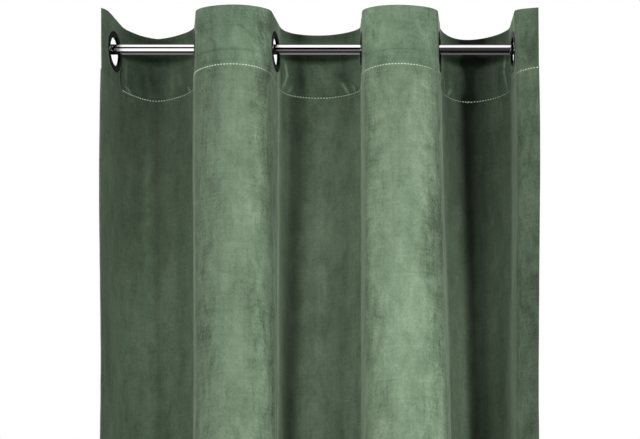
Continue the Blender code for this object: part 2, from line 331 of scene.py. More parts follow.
# The station from which the seam's stitches show on the face, and over what stretch the drawing-in starts
SEWN_FROM = 1.32
SEWN_START = 0.1
# The first and last stations of a row that runs from side hem to side hem, and the panel's right edge
FIRST_SEWN = 0.52
LAST_SEWN = 6.48
RIGHT_EDGE = 6.5
# How much the edges of a sheet's cut are rounded: at the fold along the top, at the hem and at the seam
TOP_ROUND = 0.0007
HEM_ROUND = 0.0006
SEAM_ROUND = 0.00003
# How light the thread's colour is painted along a row: painted highlight over the front crests, painted
# shade where it lies sunk in the nap between the folds
THREAD_PAINTED_SHADE = (
    # station, tone
    (0.5, 0.6),
    (1.5, 0.75),
    (1.7, 0.7),
    (2.4, 1.1),
    (2.6, 1.1),
    (2.66, 0.35),
    (3.3, 0.35),
    (3.4, 0.75),
    (3.6, 0.75),
    (4.3, 0.6),
    (4.5, 1.2),
    (4.6, 0.8),
    (4.66, 0.35),
    (5.3, 0.35),
    (5.4, 0.6),
    (5.6, 0.6),
    (5.7, 0.35),
    (6.3, 0.35),
    (6.4, 0.9),
)
# Edges of the cloth's cuts that turn by more than this are sharp.
CLOTH_SHARP = math.radians(62)

# The photograph's view: how far the eye is from the rod, how steeply it looks up, and its place
EYE = (0.00828, -2.99158, -1.15994)
EYE_PITCH = math.radians(17.0)
LENS_MM = 130.435

# Velvet, from the darkest of its mottling to the lightest, as (place, colour), and how crushed it is
VELVET_SHADES = (
    (0.10, (0.093, 0.129, 0.085)),
    (0.42, (0.160, 0.224, 0.148)),
    (0.60, (0.196, 0.270, 0.181)),
    (0.90, (0.267, 0.347, 0.244)),
)
HEADING_SHADES = (
    (0.10, (0.088, 0.126, 0.083)),
    (0.42, (0.150, 0.220, 0.144)),
    (0.60, (0.184, 0.266, 0.176)),
    (0.90, (0.252, 0.342, 0.236)),
)
PANEL_CRUSH = 1.35
HEADING_CRUSH = 1.45
SHEEN = 0.38

# Plated metals: the darkest and the lightest colour, and the least and the most roughness
DARK_CHROME = ((0.007, 0.007, 0.008), (0.024, 0.024, 0.026), 0.10, 0.20)
CHROME = ((0.80, 0.77, 0.79), (0.90, 0.87, 0.89), 0.015, 0.035)
# Edges of the metal pieces that turn by more than this are sharp.
METAL_SHARP = math.radians(40)

# The studio's soft lights, which no picture and no mirror shows
LIGHTS = (
    # name, place, target, size, watts
    ("front_strip", (0.2, -3.0, -0.45), (0.0, 0.0, -0.35), (2.8, 0.5), 66.0),
    ("left_soft", (-2.4, -1.6, 0.2), (0.0, 0.0, -0.4), (1.2, 2.4), 12.0),
    ("right_soft", (2.4, -1.6, 0.2), (0.0, 0.0, -0.4), (1.2, 2.4), 7.0),
    ("back_soft", (0.0, 3.4, 0.9), (0.0, 0.0, -0.8), (2.4, 2.4), 100.0),
)
FLOOR = HEM - 0.012
FLOOR_RADIUS = 45.0
# The light that comes from all around
AMBIENT = 0.26
# What polished metal mirrors, by the angle above the level line towards the eye: (degrees, brightness)
FRONT_BANDS = (
    (-178, 0.24),
    (-103, 0.22),
    (-98, 0.01),
    (-60, 0.01),
    (-53, 0.19),
    (-24, 0.18),
    (-18, 0.0),
    (20, 0.0),
    (33, 1.35),
    (88, 1.35),
    (104, 0.10),
)
LEFT_BANDS = (
    (-178, 0.18),
    (-104, 0.20),
    (-99, 0.01),
    (-60, 0.02),
    (-52, 1.35),
    (-2, 1.35),
    (3, 0.02),
    (38, 0.02),
    (42, 1.35),
    (94, 1.35),
    (108, 0.20),
)
RIGHT_BANDS = (
    (-178, 0.16),
    (-104, 0.11),
    (-99, 0.0),
    (-66, 0.0),
    (-54, 0.03),
    (-24, 0.05),
    (-6, 0.06),
    (16, 0.03),
    (34, 1.30),
    (74, 1.30),
    (100, 0.05),
)
# The sectors of the room, by how far to the right a direction points, that hold the left bands and the right
# bands, and those that are dark
LEFT_SECTOR = (-0.5, -0.035)
RIGHT_SECTOR = (0.04, 0.5)
DARK_SECTORS = ((-0.1200, -0.0857), (-0.0350, -0.0183), (0.0822, 0.1200))
# How the red, green and blue of the bands differ
FRONT_TINT = (1.0, 0.965, 0.98)
LEFT_TINT = (1.0, 0.985, 0.99)


def eased(start, end, share):
    """A value on its way from start to end, leaving the one and reaching the other with no corner."""
    share = min(max(share, 0.0), 1.0)
    return start + (end - start) * share * share * (3 - 2 * share)


def at_height(z, top, seam, low, hem):
    """A size of the folds at the height z, from its values at the top edge, the seam, LOW and the hem."""
    if z >= SEAM:
        return seam + (top - seam) * (z - SEAM) / (TOP - SEAM)
    if z >= LOW:
        return eased(seam, low, (SEAM - z) / (SEAM - LOW))
    return eased(low, hem, (LOW - z) / (LOW - HEM))


def clearance(offset, turn):
    """The room between the rod and the hole of a turned ring, its middle this far from the rod's axis."""
    bore = RING_INNER * math.cos(math.pi / BORE_SIDES)
    least = bore
    for end in (-SEAT - FLANGE_RISE, SEAT + FLANGE_RISE):
        for step in range(BEARING_STEPS):
            angle = 2 * math.pi * step / BEARING_STEPS
            depth = bore * math.cos(angle) * math.cos(turn) + end * math.sin(turn)
            apart = (depth - offset * math.cos(BEARING), bore * math.sin(angle) - offset * math.sin(BEARING))
            least = min(least, math.hypot(*apart) - ROD_RADIUS)
    return least


def ring_offset(turn_deg):
    """How far a ring's middle lies from the rod's axis where the rod bears on its hole, found by halving."""
    turn = abs(math.radians(turn_deg))
    near, far = 0.0, RING_INNER
    for _ in range(SEATING_TRIES):
        offset = (near + far) / 2
        if clearance(offset, turn) > GAP:
            near = offset
        else:
            far = offset
    return near


RING_OFFSETS = [ring_offset(row[1]) for row in EYELETS]


def ring_middle(index):
    """The depth and the height of an eyelet's middle."""
    return RING_OFFSETS[index] * math.cos(BEARING), -RING_OFFSETS[index] * math.sin(BEARING)


def flat_ends(index, z):
    """The front and back ends in plan of the flat that an eyelet grips, which goes on down the panel."""
    x, turn, x_low, turn_low, x_hem = EYELETS[index]
    middle = at_height(z, x, x, x_low, x_hem)
    slope = math.radians(at_height(z, turn, turn, turn_low, turn_low))
    half = at_height(z, FLAT_HALF, FLAT_HALF, FLAT_HALF_LOW, FLAT_HALF_LOW)
    depth, _ = ring_middle(index)
    run = (half * math.sin(slope), half * math.cos(slope))
    front = (middle - run[0], depth + run[1])
    back = (middle + run[0], depth - run[1])
    return front, back


def bezier(corners, steps):
    """Points of a Bezier curve, without its first one."""
    order = len(corners) - 1
    points = []
    for step in range(1, steps + 1):
        t = step / steps
        weights = [math.comb(order, k) * t**k * (1 - t) ** (order - k) for k in range(order + 1)]
        points.append(tuple(sum(w * c[axis] for w, c in zip(weights, corners)) for axis in (0, 1)))
    return points


def quarter(end, way, crest, full, steps):
    """Points of a quarter fold in plan, from the flat's end, in line with the flat, to the level crest."""
    reach = abs(crest[1] - end[1]) * full
    a = (end[0] + way[0] * reach, end[1] + way[1] * reach)
    b = (crest[0] + (end[0] - crest[0]) * full, crest[1])
    return bezier((end, a, b, crest), steps)


def margin(end, way, edge, steps):
    """Points of a side margin in plan, from the flat's front end to the panel's side edge."""
    reach = MARGIN_REACH * (edge[1] - end[1])
    return bezier((end, (end[0] + way[0] * reach, end[1] + way[1] * reach), edge), steps)


def add_object(name, data):
    """Puts a mesh, a light or a camera in the scene."""
    obj = bpy.data.objects.new(name, data)
    bpy.context.scene.collection.objects.link(obj)
    return obj


def mesh_from(bm, name):
    """A mesh that holds what bm holds, which is freed."""
    mesh = bpy.data.meshes.new(name)
    bm.to_mesh(mesh)
    bm.free()
    return mesh


def direction(start, end):
    """The way in plan from one point to another, one unit long."""
    length = math.dist(start, end)
    return ((end[0] - start[0]) / length, (end[1] - start[1]) / length)


def fold_line(z, steps):
    """The curtain's line in plan at the height z, from the left edge to the right, as (x, depth) points.

    steps is how many steps a flat, a quarter of a fold and a side margin take.
    """
    in_flat, in_quarter, in_margin = steps
    ends = [flat_ends(index, z) for index in range(len(EYELETS))]
    edges = []
    for x, x_seam, x_low, x_hem, *depths in MARGINS:
        edges.append((at_height(z, x, x_seam, x_low, x_hem), at_height(z, *depths)))
    front, back = ends[0]
    line = margin(front, direction(back, front), edges[0], in_margin)[::-1] + [front]
    for index, (x, x_low, x_hem, *depths, full_left, full_right) in enumerate(FOLDS):
        crest = (at_height(z, x, x, x_low, x_hem), at_height(z, *depths))
        towards_back = crest[1] < 0
        start, leave = ends[index] if towards_back else ends[index][::-1]
        arrive, end = ends[index + 1][::-1] if towards_back else ends[index + 1]
        line += bezier((start, leave), in_flat)
        line += quarter(leave, direction(start, leave), crest, full_left, in_quarter)
        line += quarter(arrive, direction(end, arrive), crest, full_right, in_quarter)[-2::-1] + [arrive]
    back, front = ends[-1][::-1]
    line += bezier((back, front), in_flat)
    line += margin(front, direction(back, front), edges[1], in_margin)
    return np.array(line)


def stations(steps):
    """The station of each point of the fold line."""
    in_flat, in_quarter, in_margin = steps
    marks = [(0.5, 1 - FLAT_SHARE, in_margin)]
    for number in range(1, len(EYELETS) + 1):
        marks.append((number - FLAT_SHARE, number + FLAT_SHARE, in_flat))
        if number < len(EYELETS):
            marks.append((number + FLAT_SHARE, number + 0.5, in_quarter))
            marks.append((number + 0.5, number + 1 - FLAT_SHARE, in_quarter))
    marks.append((len(EYELETS) + FLAT_SHARE, len(EYELETS) + 0.5, in_margin))
    found = [marks[0][0]]
    for start, end, count in marks:
        found += [start + (end - start) * step / count for step in range(1, count + 1)]
    return np.array(found)


def outward(line):
    """The direction in which the cloth's face looks at each point of a fold line."""
    way = np.gradient(line, axis=0)
    way /= np.linalg.norm(way, axis=1)[:, None]
    return np.stack([-way[:, 1], way[:, 0]], axis=1)


def along(line):
    """How far along the cloth each point of a fold line is."""
    return np.concatenate([[0.0], np.cumsum(np.linalg.norm(np.diff(line, axis=0), axis=1))])


def smooth(start, end, values):
    share = np.clip((values - start) / (end - start), 0, 1)
    return share * share * (3 - 2 * share)


def strokes(table, station, run, z):
    """The sum at each point of one row of soft strokes, which are weaker towards their ends."""
    relief = np.zeros(len(station))
    for start, z_start, end, z_end, wide, rise in table:
        reach = STROKE_REACH * wide
        if not min(z_start, z_end) - reach < z < max(z_start, z_end) + reach:
            continue
        a = np.array([np.interp(start, station, run), z_start])
        b = np.array([np.interp(end, station, run), z_end])
        span = b - a
        points = np.stack([run, np.full(len(run), z)], axis=1)
        share = np.clip(((points - a) @ span) / (span @ span), 0, 1)
        away = np.linalg.norm(points - a - share[:, None] * span, axis=1)
        strength = STROKE_END + (1 - STROKE_END) * np.sin(np.pi * (0.1 + 0.8 * share))
        relief += rise * np.exp(-((away / wide) ** 2)) * strength
    return relief


def painted_shade_tone(station, run, z):
    """The painted shade and highlight at each point of one row, as a share of the lightest colour, with the
    strokes' nap marks and painted light added.
    """
    columns = [np.interp(station, [row[0] for row in PAINTED_SHADE_AND_HIGHLIGHT], [row[k] for row in PAINTED_SHADE_AND_HIGHLIGHT]) for k in (1, 2, 3)]
    tone = columns[0]
    for column, (start, end) in zip(columns[1:], PAINTED_SHADE_STRETCHES):
        share = smooth(start, end, np.array([z]))[0]
        tone = tone * (1 - share) + column * share
    return np.clip(tone + strokes(NAP_MARKS_AND_PAINTED_LIGHT, station, run, z), *TONE_RANGE)


def crush_of(station):
    return np.interp(station, [row[0] for row in CRUSH], [row[1] for row in CRUSH])


def drawn_in(z, row):
    """How far the cloth is drawn in near a row of stitches."""
    return -DRAWN_DEPTH * math.exp(-(((z - row) / DRAWN_WIDTH) ** 2))


def seam_drawn_in(station, z):
    """How far the seam draws the cloth in, from where its stitches start."""
    return drawn_in(z, SEAM) * smooth(SEWN_FROM - SEWN_START, SEWN_FROM, station)


def uneven(run, z):
    """The soft unevenness of hanging velvet: long, shallow swells down the folds and small ones across."""
    relief = np.zeros(len(run))
    below = smooth(0.0, SWELLS_FULL, np.array([SEAM - z]))[0]
    for across, down, height, added, layer in SWELLS:
        swell = [noise.noise(Vector((s * across, z * down, layer))) for s in run]
        relief += np.array(swell) * (height + added * below)
    return relief


def clear_of_eyelets(station, z):
    """0 under an eyelet's flange and 1 well away from it, so that the cloth is flat where it is gripped."""
    free = np.ones(len(station))
    for index in range(len(EYELETS)):
        side = (station - 1 - index) * FLAT_HALF / FLAT_SHARE
        away = np.hypot(side, z - ring_middle(index)[1])
        free *= smooth(RING_OUTER + STILL_REACH, RING_OUTER + FREE_REACH, away)
    return free


def section(heights, round_top, round_low):
    """The closed outline of a sheet's cut as (side, z) points: side 1 is the face, -1 the back."""
    face = [(1.0, z) for z in heights]
    back = [(-1.0, z) for z in heights[::-1]]
    face[0] = (1.0, heights[0] - round_top)
    back[-1] = (-1.0, heights[0] - round_top)
    face[-1] = (1.0, heights[-1] + round_low)
    back[0] = (-1.0, heights[-1] + round_low)
    return face + [(0.0, heights[-1])] + back + [(0.0, heights[0])]


def hung_sheet(name, heights, rounds, steps, thickness, relief, back_more):
    """A closed sheet on the curtain's folds, its points holding the painted shade tone and the crush as
    attributes.

    relief gives how far each point of a row is moved along the cloth's face, and back_more how much
    thicker the cloth is on its back there.
    """
    outline = section(heights, *rounds)
    station = stations(steps)
    rows = []
    tones = []
    crushes = []
    for side, z in outline:
        line = fold_line(z, steps)
        normal = outward(line)
        run = along(line)
        half = np.full(len(line), side * thickness / 2)
        if side < 0:
            half = half - back_more(run, z)
        half[[0, -1]] *= SIDE_SHARE
        moved = line + normal * (half + relief(station, run, z))[:, None]
        rows.append(np.stack([moved[:, 0], -moved[:, 1], np.full(len(line), z)], axis=1))
        tones.append(painted_shade_tone(station, run, z) if side >= 0 else np.full(len(line), BACK_TONE))
        crushes.append(crush_of(station) if side >= 0 else np.full(len(line), BACK_CRUSH))
    count = len(rows)
    width = len(station)
    points = np.concatenate(rows)
    faces = []
    backs = []
    for k in range(count):
        after = (k + 1) % count
        for j in range(width - 1):
            faces.append((k * width + j, after * width + j, after * width + j + 1, k * width + j + 1))
            backs.append(outline[k][0] < 0 or outline[after][0] < 0)
    rows_down = len(heights)
    for k in range(rows_down - 1):
        mirror = count - 2 - k
        for j, turn in ((0, 1), (width - 1, -1)):
            corners = (k * width + j, mirror * width + j, (mirror - 1) * width + j, (k + 1) * width + j)
            faces.append(corners[::turn])
            backs.append(False)
    bottom = rows_down
    for j, turn in ((0, 1), (width - 1, -1)):
        low = ((bottom - 1) * width + j, (bottom + 1) * width + j, bottom * width + j)
        high = ((count - 2) * width + j, j, (count - 1) * width + j)
        faces += [low[::turn], high[::turn]]
        backs += [False, False]
    mesh = bpy.data.meshes.new(name)
    mesh.from_pydata(points.tolist(), [], faces)
    mesh.polygons.foreach_set("use_smooth", [True] * len(faces))
    mesh.polygons.foreach_set("material_index", [int(b) for b in backs])
    # The tones are painted shade and highlight, with the nap marks
    mesh.attributes.new("painted_shade_and_nap", "FLOAT", "POINT").data.foreach_set("value", np.concatenate(tones))
    mesh.attributes.new("crush", "FLOAT", "POINT").data.foreach_set("value", np.concatenate(crushes))
    obj = add_object(name, mesh)
    bm = bmesh.new()
    bm.from_mesh(mesh)
    bmesh.ops.recalc_face_normals(bm, faces=bm.faces)
    bm.to_mesh(mesh)
    bm.free()
    mesh.set_sharp_from_angle(angle=CLOTH_SHARP)
    return obj


def spread_heights(stretches):
    """Heights from top to bottom. Each stretch is (from, to, step)."""
    found = [stretches[0][0]]
    for start, end, step in stretches:
        count = max(1, round((start - end) / step))
        found += [start + (end - start) * k / count for k in range(1, count + 1)]
    return found


def new_material(name):
    material = bpy.data.materials.new(name)
    material.use_nodes = True
    return material, material.node_tree, material.node_tree.nodes["Principled BSDF"]


def made(tree, kind, **values):
    node = tree.nodes.new(kind)
    for key, value in values.items():
        setattr(node, key, value)
    return node


def noise_value(tree, scale, stretch, detail=3.0, rough=0.55, distortion=0.0):
    """A noise from 0 to 1 over the object's own coordinates, stretched by axis."""
    place = made(tree, "ShaderNodeTexCoord")
    mapping = made(tree, "ShaderNodeMapping")
    mapping.inputs["Scale"].default_value = stretch
    texture = made(tree, "ShaderNodeTexNoise")
    texture.inputs["Scale"].default_value = scale
    texture.inputs["Detail"].default_value = detail
    texture.inputs["Roughness"].default_value = rough
    texture.inputs["Distortion"].default_value = distortion
    tree.links.new(place.outputs["Object"], mapping.inputs["Vector"])
    tree.links.new(mapping.outputs["Vector"], texture.inputs["Vector"])
    return texture.outputs["Fac"]


def math_node(tree, operation, a, b=0.0, c=0.0):
    node = made(tree, "ShaderNodeMath", operation=operation)
    for socket, value in zip(node.inputs, (a, b, c)):
        if isinstance(value, (int, float)):
            socket.default_value = value
        else:
            tree.links.new(value, socket)
    return node.outputs[0]


def weighed(tree, start, parts):
    """start plus each part's weight times how far its noise is from the middle."""
    total = start
    for weight, value in parts:
        total = math_node(tree, "MULTIPLY_ADD", value, weight, total)
        total = math_node(tree, "SUBTRACT", total, weight / 2)
    return total


def wrinkles(tree):
    """Fine, broken lines that wander over the cloth: 1 on a line and 0 away from it."""
    field = noise_value(tree, WRINKLE_SCALE, (1, 1, 1.5), 2.0, 0.5, 1.6)
    away = math_node(tree, "ABSOLUTE", math_node(tree, "SUBTRACT", field, 0.5))
    line = math_node(tree, "MAXIMUM", math_node(tree, "MULTIPLY_ADD", away, -1 / WRINKLE_WIDTH, 1.0), 0.0)
    patch = noise_value(tree, WRINKLE_SCALE * 1.3, (1, 1, 1.2), 2.0, 0.5)
    shown = math_node(tree, "MULTIPLY_ADD", patch, 6.0, -2.8)
    shown = math_node(tree, "MINIMUM", math_node(tree, "MAXIMUM", shown, 0.0), 1.0)
    return math_node(tree, "MULTIPLY", line, shown)


def ramp(tree, value, stops):
    node = made(tree, "ShaderNodeValToRGB")
    elements = node.color_ramp.elements
    elements.remove(elements[-1])
    elements[0].position = stops[0][0]
    elements[0].color = (*stops[0][1], 1.0)
    for place, colour in stops[1:]:
        elements.new(place).color = (*colour, 1.0)
    tree.links.new(value, node.inputs["Fac"])
    return node.outputs["Color"]


def bump(tree, shader, height, distance, strength):
    node = made(tree, "ShaderNodeBump")
    node.inputs["Distance"].default_value = distance
    node.inputs["Strength"].default_value = strength
    tree.links.new(height, node.inputs["Height"])
    tree.links.new(node.outputs["Normal"], shader.inputs["Normal"])


def velvet(name, shades, crush):
    """Crushed velvet: mottled and streaked, lighting up where it is seen from the side, its colour scaled by
    each point's painted shade and highlight.
    """
    material, tree, shader = new_material(name)
    blotch = noise_value(tree, 12.0, (1, 1, 0.4), 3.0, 0.6)
    mottle = noise_value(tree, 58.0, (1, 1, 0.55), 4.0, 0.60, 0.6)
    grain = noise_value(tree, 420.0, (1, 1, 0.7), 3.0, 0.6)
    streak = noise_value(tree, 230.0, (1, 1, 0.05), 3.0, 0.6)
    hairline = noise_value(tree, 380.0, (0.05, 0.05, 1.2), 2.0, 0.6)
    tone = weighed(
        tree,
        0.5,
        (
            (0.65 * crush, blotch),
            (0.60 * crush, mottle),
            (0.40 * crush, grain),
            (0.18 * crush, streak),
            (0.18 * crush, hairline),
        ),
    )
    wrinkle = wrinkles(tree)
    tone = math_node(tree, "MULTIPLY_ADD", wrinkle, WRINKLE_TONE, tone)
    strength = made(tree, "ShaderNodeAttribute", attribute_name="crush")
    apart = math_node(tree, "SUBTRACT", tone, 0.5)
    tone = math_node(tree, "MULTIPLY_ADD", apart, strength.outputs["Fac"], 0.5)
    # Each point's painted shade and highlight, with the nap marks, scales the base colour
    painted_shade_and_nap = made(tree, "ShaderNodeAttribute", attribute_name="painted_shade_and_nap")
    colour = made(tree, "ShaderNodeVectorMath", operation="SCALE")
    tree.links.new(ramp(tree, tone, shades), colour.inputs[0])
    tree.links.new(painted_shade_and_nap.outputs["Fac"], colour.inputs["Scale"])
    tree.links.new(colour.outputs[0], shader.inputs["Base Color"])
    shader.inputs["Roughness"].default_value = 0.88
    shader.inputs["Specular IOR Level"].default_value = 0.12
    shader.inputs["Sheen Weight"].default_value = SHEEN
    shader.inputs["Sheen Roughness"].default_value = 0.28
    shader.inputs["Sheen Tint"].default_value = (0.72, 0.86, 0.68, 1.0)
    height = weighed(tree, 0.5, ((0.7, mottle), (0.4, grain), (0.25, streak)))
    height = math_node(tree, "MULTIPLY_ADD", wrinkle, 0.15, height)
    bump(tree, shader, height, 0.0012, 0.55)
    return material


def reverse_cloth():
    """The plain woven back of the velvet."""
    material, tree, shader = new_material("velvet_reverse")
    across = noise_value(tree, 900.0, (1, 1, 0.12), 2.0, 0.5)
    down = noise_value(tree, 900.0, (0.12, 0.12, 1), 2.0, 0.5)
    cloud = noise_value(tree, 14.0, (1, 1, 0.6), 3.0, 0.6)
    tone = weighed(tree, 0.5, ((0.5, across), (0.5, down), (0.3, cloud)))
    colour = ramp(tree, tone, ((0.2, (0.105, 0.138, 0.097)), (0.8, (0.185, 0.235, 0.170))))
    tree.links.new(colour, shader.inputs["Base Color"])
    shader.inputs["Roughness"].default_value = 0.92
    shader.inputs["Specular IOR Level"].default_value = 0.15
    bump(tree, shader, tone, 0.0006, 0.4)
    return material


def thread():
    """Twisted sewing thread, paler than the cloth."""
    material, tree, shader = new_material("thread")
    twist = noise_value(tree, 1500.0, (1, 1, 1), 2.0, 0.5)
    patch = noise_value(tree, 30.0, (1, 1, 1), 2.0, 0.5)
    tone = weighed(tree, 0.5, ((0.4, twist), (1.2, patch)))
    # Each point's painted shade and highlight scales the thread's colour
    light = made(tree, "ShaderNodeAttribute", attribute_name="painted_shade_and_nap")
    colour = made(tree, "ShaderNodeVectorMath", operation="SCALE")
    shades = ((0.1, (0.58, 0.70, 0.53)), (0.9, (0.76, 0.88, 0.70)))
    tree.links.new(ramp(tree, tone, shades), colour.inputs[0])
    tree.links.new(light.outputs["Fac"], colour.inputs["Scale"])
    tree.links.new(colour.outputs[0], shader.inputs["Base Color"])
    shader.inputs["Roughness"].default_value = 0.6
    shader.inputs["Sheen Weight"].default_value = 0.3
    bump(tree, shader, twist, 0.0002, 0.4)
    return material


def polished(name, dark, light, rough_low, rough_high):
    """Plated metal with the faint clouding that a polished plate has."""
    material, tree, shader = new_material(name)
    cloud = noise_value(tree, 60.0, (1, 1, 1), 3.0, 0.6)
    fine = noise_value(tree, 700.0, (0.1, 1, 1), 2.0, 0.5)
    tone = weighed(tree, 0.5, ((0.7, cloud), (0.2, fine)))
    tree.links.new(ramp(tree, tone, ((0.2, dark), (0.8, light))), shader.inputs["Base Color"])
    shader.inputs["Metallic"].default_value = 1.0
    rough = made(tree, "ShaderNodeMapRange")
    rough.inputs["To Min"].default_value = rough_low
    rough.inputs["To Max"].default_value = rough_high
    tree.links.new(tone, rough.inputs["Value"])
    tree.links.new(rough.outputs["Result"], shader.inputs["Roughness"])
    return material


def turned(name, profile, sides, closed):
    """A ring or bar turned about its own Z from a profile of (radius, height) points."""
    bm = bmesh.new()
    rings = []
    for index in range(sides):
        angle = 2 * math.pi * index / sides
        rings.append([bm.verts.new((r * math.cos(angle), r * math.sin(angle), h)) for r, h in profile])
    last = len(profile) if closed else len(profile) - 1
    for index in range(sides):
        here = rings[index]
        there = rings[(index + 1) % sides]
        for i in range(last):
            j = (i + 1) % len(profile)
            bm.faces.new((here[i], here[j], there[j], there[i]))
    if not closed:
        bm.faces.new([ring[0] for ring in rings])
        bm.faces.new([ring[-1] for ring in rings])
    bmesh.ops.recalc_face_normals(bm, faces=bm.faces)
    mesh = mesh_from(bm, name)
    mesh.shade_smooth()
    mesh.set_sharp_from_angle(angle=METAL_SHARP)
    return mesh


def crown(inner, outer, base, rise):
    """The domed outside of a flange, as (radius, height) points from its outer rim to its inner one."""
    middle = (inner + outer) / 2
    half = (outer - inner) / 2
    points = []
    for step in range(CROWN_STEPS + 1):
        angle = math.pi * step / CROWN_STEPS
        share = RIM_SHARE + (1 - RIM_SHARE) * math.sin(angle)
        points.append((middle + half * math.cos(angle), base + rise * share))
    return points


def front_profile():
    sleeve = RING_INNER + SLEEVE_WALL
    profile = crown(RING_INNER, RING_OUTER, SEAT, FLANGE_RISE)
    profile += [(RING_INNER, -SEAT - SLEEVE_END), (sleeve, -SEAT - SLEEVE_END)]
    profile += [(sleeve, SEAT), (RING_OUTER, SEAT)]
    return profile


def back_profile():
    profile = [(r, -h) for r, h in crown(HOLE_RADIUS, RING_OUTER, SEAT, FLANGE_RISE)]
    profile += [(HOLE_RADIUS, -SEAT), (RING_OUTER, -SEAT)]
    return profile


def faces_right(index):
    return 1 if index % 2 == 0 else -1


def place_on_heading(obj, index):
    """Puts a turned piece round an eyelet's middle, its axis square to the cloth, +Z on the face."""
    depth, height = ring_middle(index)
    x, turn = EYELETS[index][:2]
    obj.location = (x, -depth, height)
    obj.rotation_euler = (0.0, faces_right(index) * math.pi / 2, -math.radians(turn))


def make_eyelets():
    metal = polished("dark_chrome", *DARK_CHROME)
    front = turned("ring_front", front_profile(), RING_SIDES, True)
    back = turned("ring_back", back_profile(), RING_SIDES, True)
    for mesh, kind in ((front, "front"), (back, "back")):
        mesh.materials.append(metal)
        for index in range(len(EYELETS)):
            ring = add_object(f"ring_{kind}_{index + 1}", mesh)
            place_on_heading(ring, index)
            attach(ring, "root")
            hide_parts(f"eyelet_{kind}_{index + 1}")


def hole_drums():
    """The drums that cut the heading's holes, as one object."""
    bm = bmesh.new()
    for index in range(len(EYELETS)):
        before = set(bm.verts)
        bmesh.ops.create_cone(
            bm,
            cap_ends=True,
            segments=RING_SIDES,
            radius1=HOLE_RADIUS,
            radius2=HOLE_RADIUS,
            depth=DRUM_DEPTH,
        )
        holder = bpy.data.objects.new("holder", None)
        place_on_heading(holder, index)
        matrix = holder.matrix_basis.copy()
        bpy.data.objects.remove(holder)
        for vert in set(bm.verts) - before:
            vert.co = matrix @ vert.co
    return add_object("drums", mesh_from(bm, "drums"))


def keep_painted_shade(whole, cut):
    """Gives each point of a cut mesh the painted shade tone and the crush at the nearest point of the whole
    one.
    """
    tree = kdtree.KDTree(len(whole.vertices))
    for vert in whole.vertices:
        tree.insert(vert.co, vert.index)
    tree.balance()
    nearest = [tree.find(vert.co)[1] for vert in cut.vertices]
    for name in ("painted_shade_and_nap", "crush"):
        values = whole.attributes[name].data
        found = [values[index].value for index in nearest]
        if name in cut.attributes:
            cut.attributes.remove(cut.attributes[name])
        cut.attributes.new(name, "FLOAT", "POINT").data.foreach_set("value", found)


def cut_holes(heading):
    drums = hole_drums()
    hole = heading.modifiers.new("holes", "BOOLEAN")
    hole.object = drums
    hole.operation = "DIFFERENCE"
    hole.solver = "MANIFOLD"
    graph = bpy.context.evaluated_depsgraph_get()
    cut = bpy.data.meshes.new_from_object(heading.evaluated_get(graph))
    heading.modifiers.clear()
    keep_painted_shade(heading.data, cut)
    heading.data = cut
    cut.set_sharp_from_angle(angle=CLOTH_SHARP)
    bpy.data.objects.remove(drums)


def make_heading(face, back):
    """The stiffened strip along the top: folded over, with its creases, and a hole for each eyelet."""
    heights = spread_heights(HEADING_STRETCHES)

    def relief(station, run, z):
        free = clear_of_eyelets(station, z)
        moved = strokes(CREASES, station, run, z) + HEADING_SWELLS * uneven(run, z)
        return free * moved + seam_drawn_in(station, z)

    def back_more(run, z):
        return np.zeros(len(run))

    rounds = (TOP_ROUND, SEAM_ROUND)
    heading = hung_sheet("heading_cloth", heights, rounds, HEADING_STEPS, HEADING_THICK, relief, back_more)
    cut_holes(heading)
    heading.data.materials.clear()
    heading.data.materials.append(face)
    heading.data.materials.append(back)
    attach(heading, "root")
    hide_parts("heading")
    return heading


def make_panel(face, back):
    """The curtain below the seam, with its turned side and bottom hems."""
    heights = spread_heights(PANEL_STRETCHES)

    def relief(station, run, z):
        drawn = seam_drawn_in(station, z) + drawn_in(z, HEM_STITCHES)
        return strokes(CREASES, station, run, z) + uneven(run, z) + drawn

    def back_more(run, z):
        from_side = np.minimum(run, run[-1] - run)
        side = 1 - smooth(SIDE_HEM - 0.0010, SIDE_HEM + 0.0010, from_side)
        low = 1.0 if z < HEM_STITCHES else 0.0
        return TURNED_THICK * np.maximum(side, low)

    rounds = (SEAM_ROUND, HEM_ROUND)
    panel = hung_sheet("panel_cloth", heights, rounds, PANEL_STEPS, PANEL_THICK, relief, back_more)
    panel.data.materials.append(face)
    panel.data.materials.append(back)
    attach(panel, "root")
    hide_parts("panel")
    return panel


def make_rod():
    end = ROD_LENGTH / 2
    profile = [(ROD_RADIUS - ROD_EDGE, -end), (ROD_RADIUS, -end + ROD_EDGE)]
    profile += [(ROD_RADIUS, -end + ROD_LENGTH * k / 12) for k in range(1, 12)]
    profile += [(ROD_RADIUS, end - ROD_EDGE), (ROD_RADIUS - ROD_EDGE, end)]
    mesh = turned("chrome_rod", profile, ROD_SIDES, False)
    mesh.materials.append(polished("chrome", *CHROME))
    rod = add_object("chrome_rod", mesh)
    rod.rotation_euler = (0.0, math.pi / 2, 0.0)
    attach(rod, "root")
    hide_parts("rod")


def stitch_shape():
    """The corners of one stitch along +X: a short rounded bar, raised a little in its middle."""
    shape = []
    for share, size in ((-0.5, 0.35), (-0.38, 0.85), (-0.15, 1.0), (0.15, 1.0), (0.38, 0.85), (0.5, 0.35)):
        lift = math.cos(math.pi * share) * 0.5
        shape.append((share * STITCH_LENGTH, size * THREAD_RADIUS, lift * THREAD_RADIUS))
    return shape


